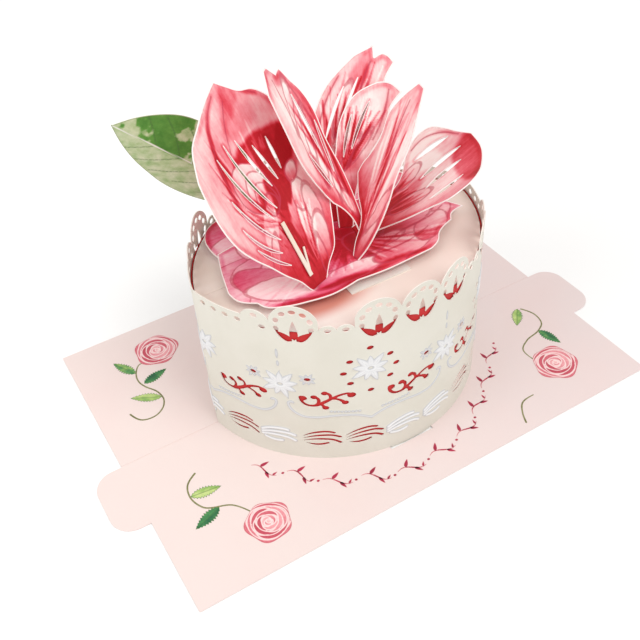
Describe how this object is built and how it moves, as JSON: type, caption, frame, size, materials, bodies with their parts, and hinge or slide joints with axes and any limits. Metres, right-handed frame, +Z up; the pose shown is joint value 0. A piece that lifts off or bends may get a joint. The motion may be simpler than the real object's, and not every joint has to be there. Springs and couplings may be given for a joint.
{
  "type": "pop up card",
  "caption": "Open folding greeting card: a pierced lace cake and a paper flower with a leaf stand up from its fold.",
  "frame": {"origin": "on the fold, at the middle of the open sheet's underside", "axes": "+X along the fold, with the flower's big petal and the leaf on the -X side; -Y is the front half; +Z is up"},
  "size_m": [0.236, 0.148, 0.1453],
  "materials": {
    "card": "matt pale pink card with printed rose sprigs",
    "lace": "matt ivory card, embossed and pierced",
    "liner": "matt dark red card",
    "cake_top": "pearl pink card",
    "inner_card": "plain pale card",
    "petals": "matt card printed pale pink to deep red, with white cut edges",
    "stamen": "matt cream card",
    "leaf": "matt card printed green, with white cut edges"
  },
  "bodies": {
    "root": {"base_card": "card", "lace_band_front": "lace", "lace_band_back": "lace", "liner_band_front": "liner", "liner_band_back": "liner", "cake_top": "cake_top", "fold_rib": "inner_card", "cross_rib_left": "inner_card", "cross_rib_right": "inner_card", "riser_front": "inner_card", "riser_back": "inner_card", "rosette_lower": "petals", "rosette_upper": "petals", "left_petal": "petals", "slim_left_petal": "petals", "back_petal_outer": "petals", "back_petal_inner": "petals", "slim_right_petal": "petals", "right_petal": "petals", "stamen_strip": "stamen", "leaf_upper": "leaf", "leaf_under": "leaf"}
  },
  "joints": []
}
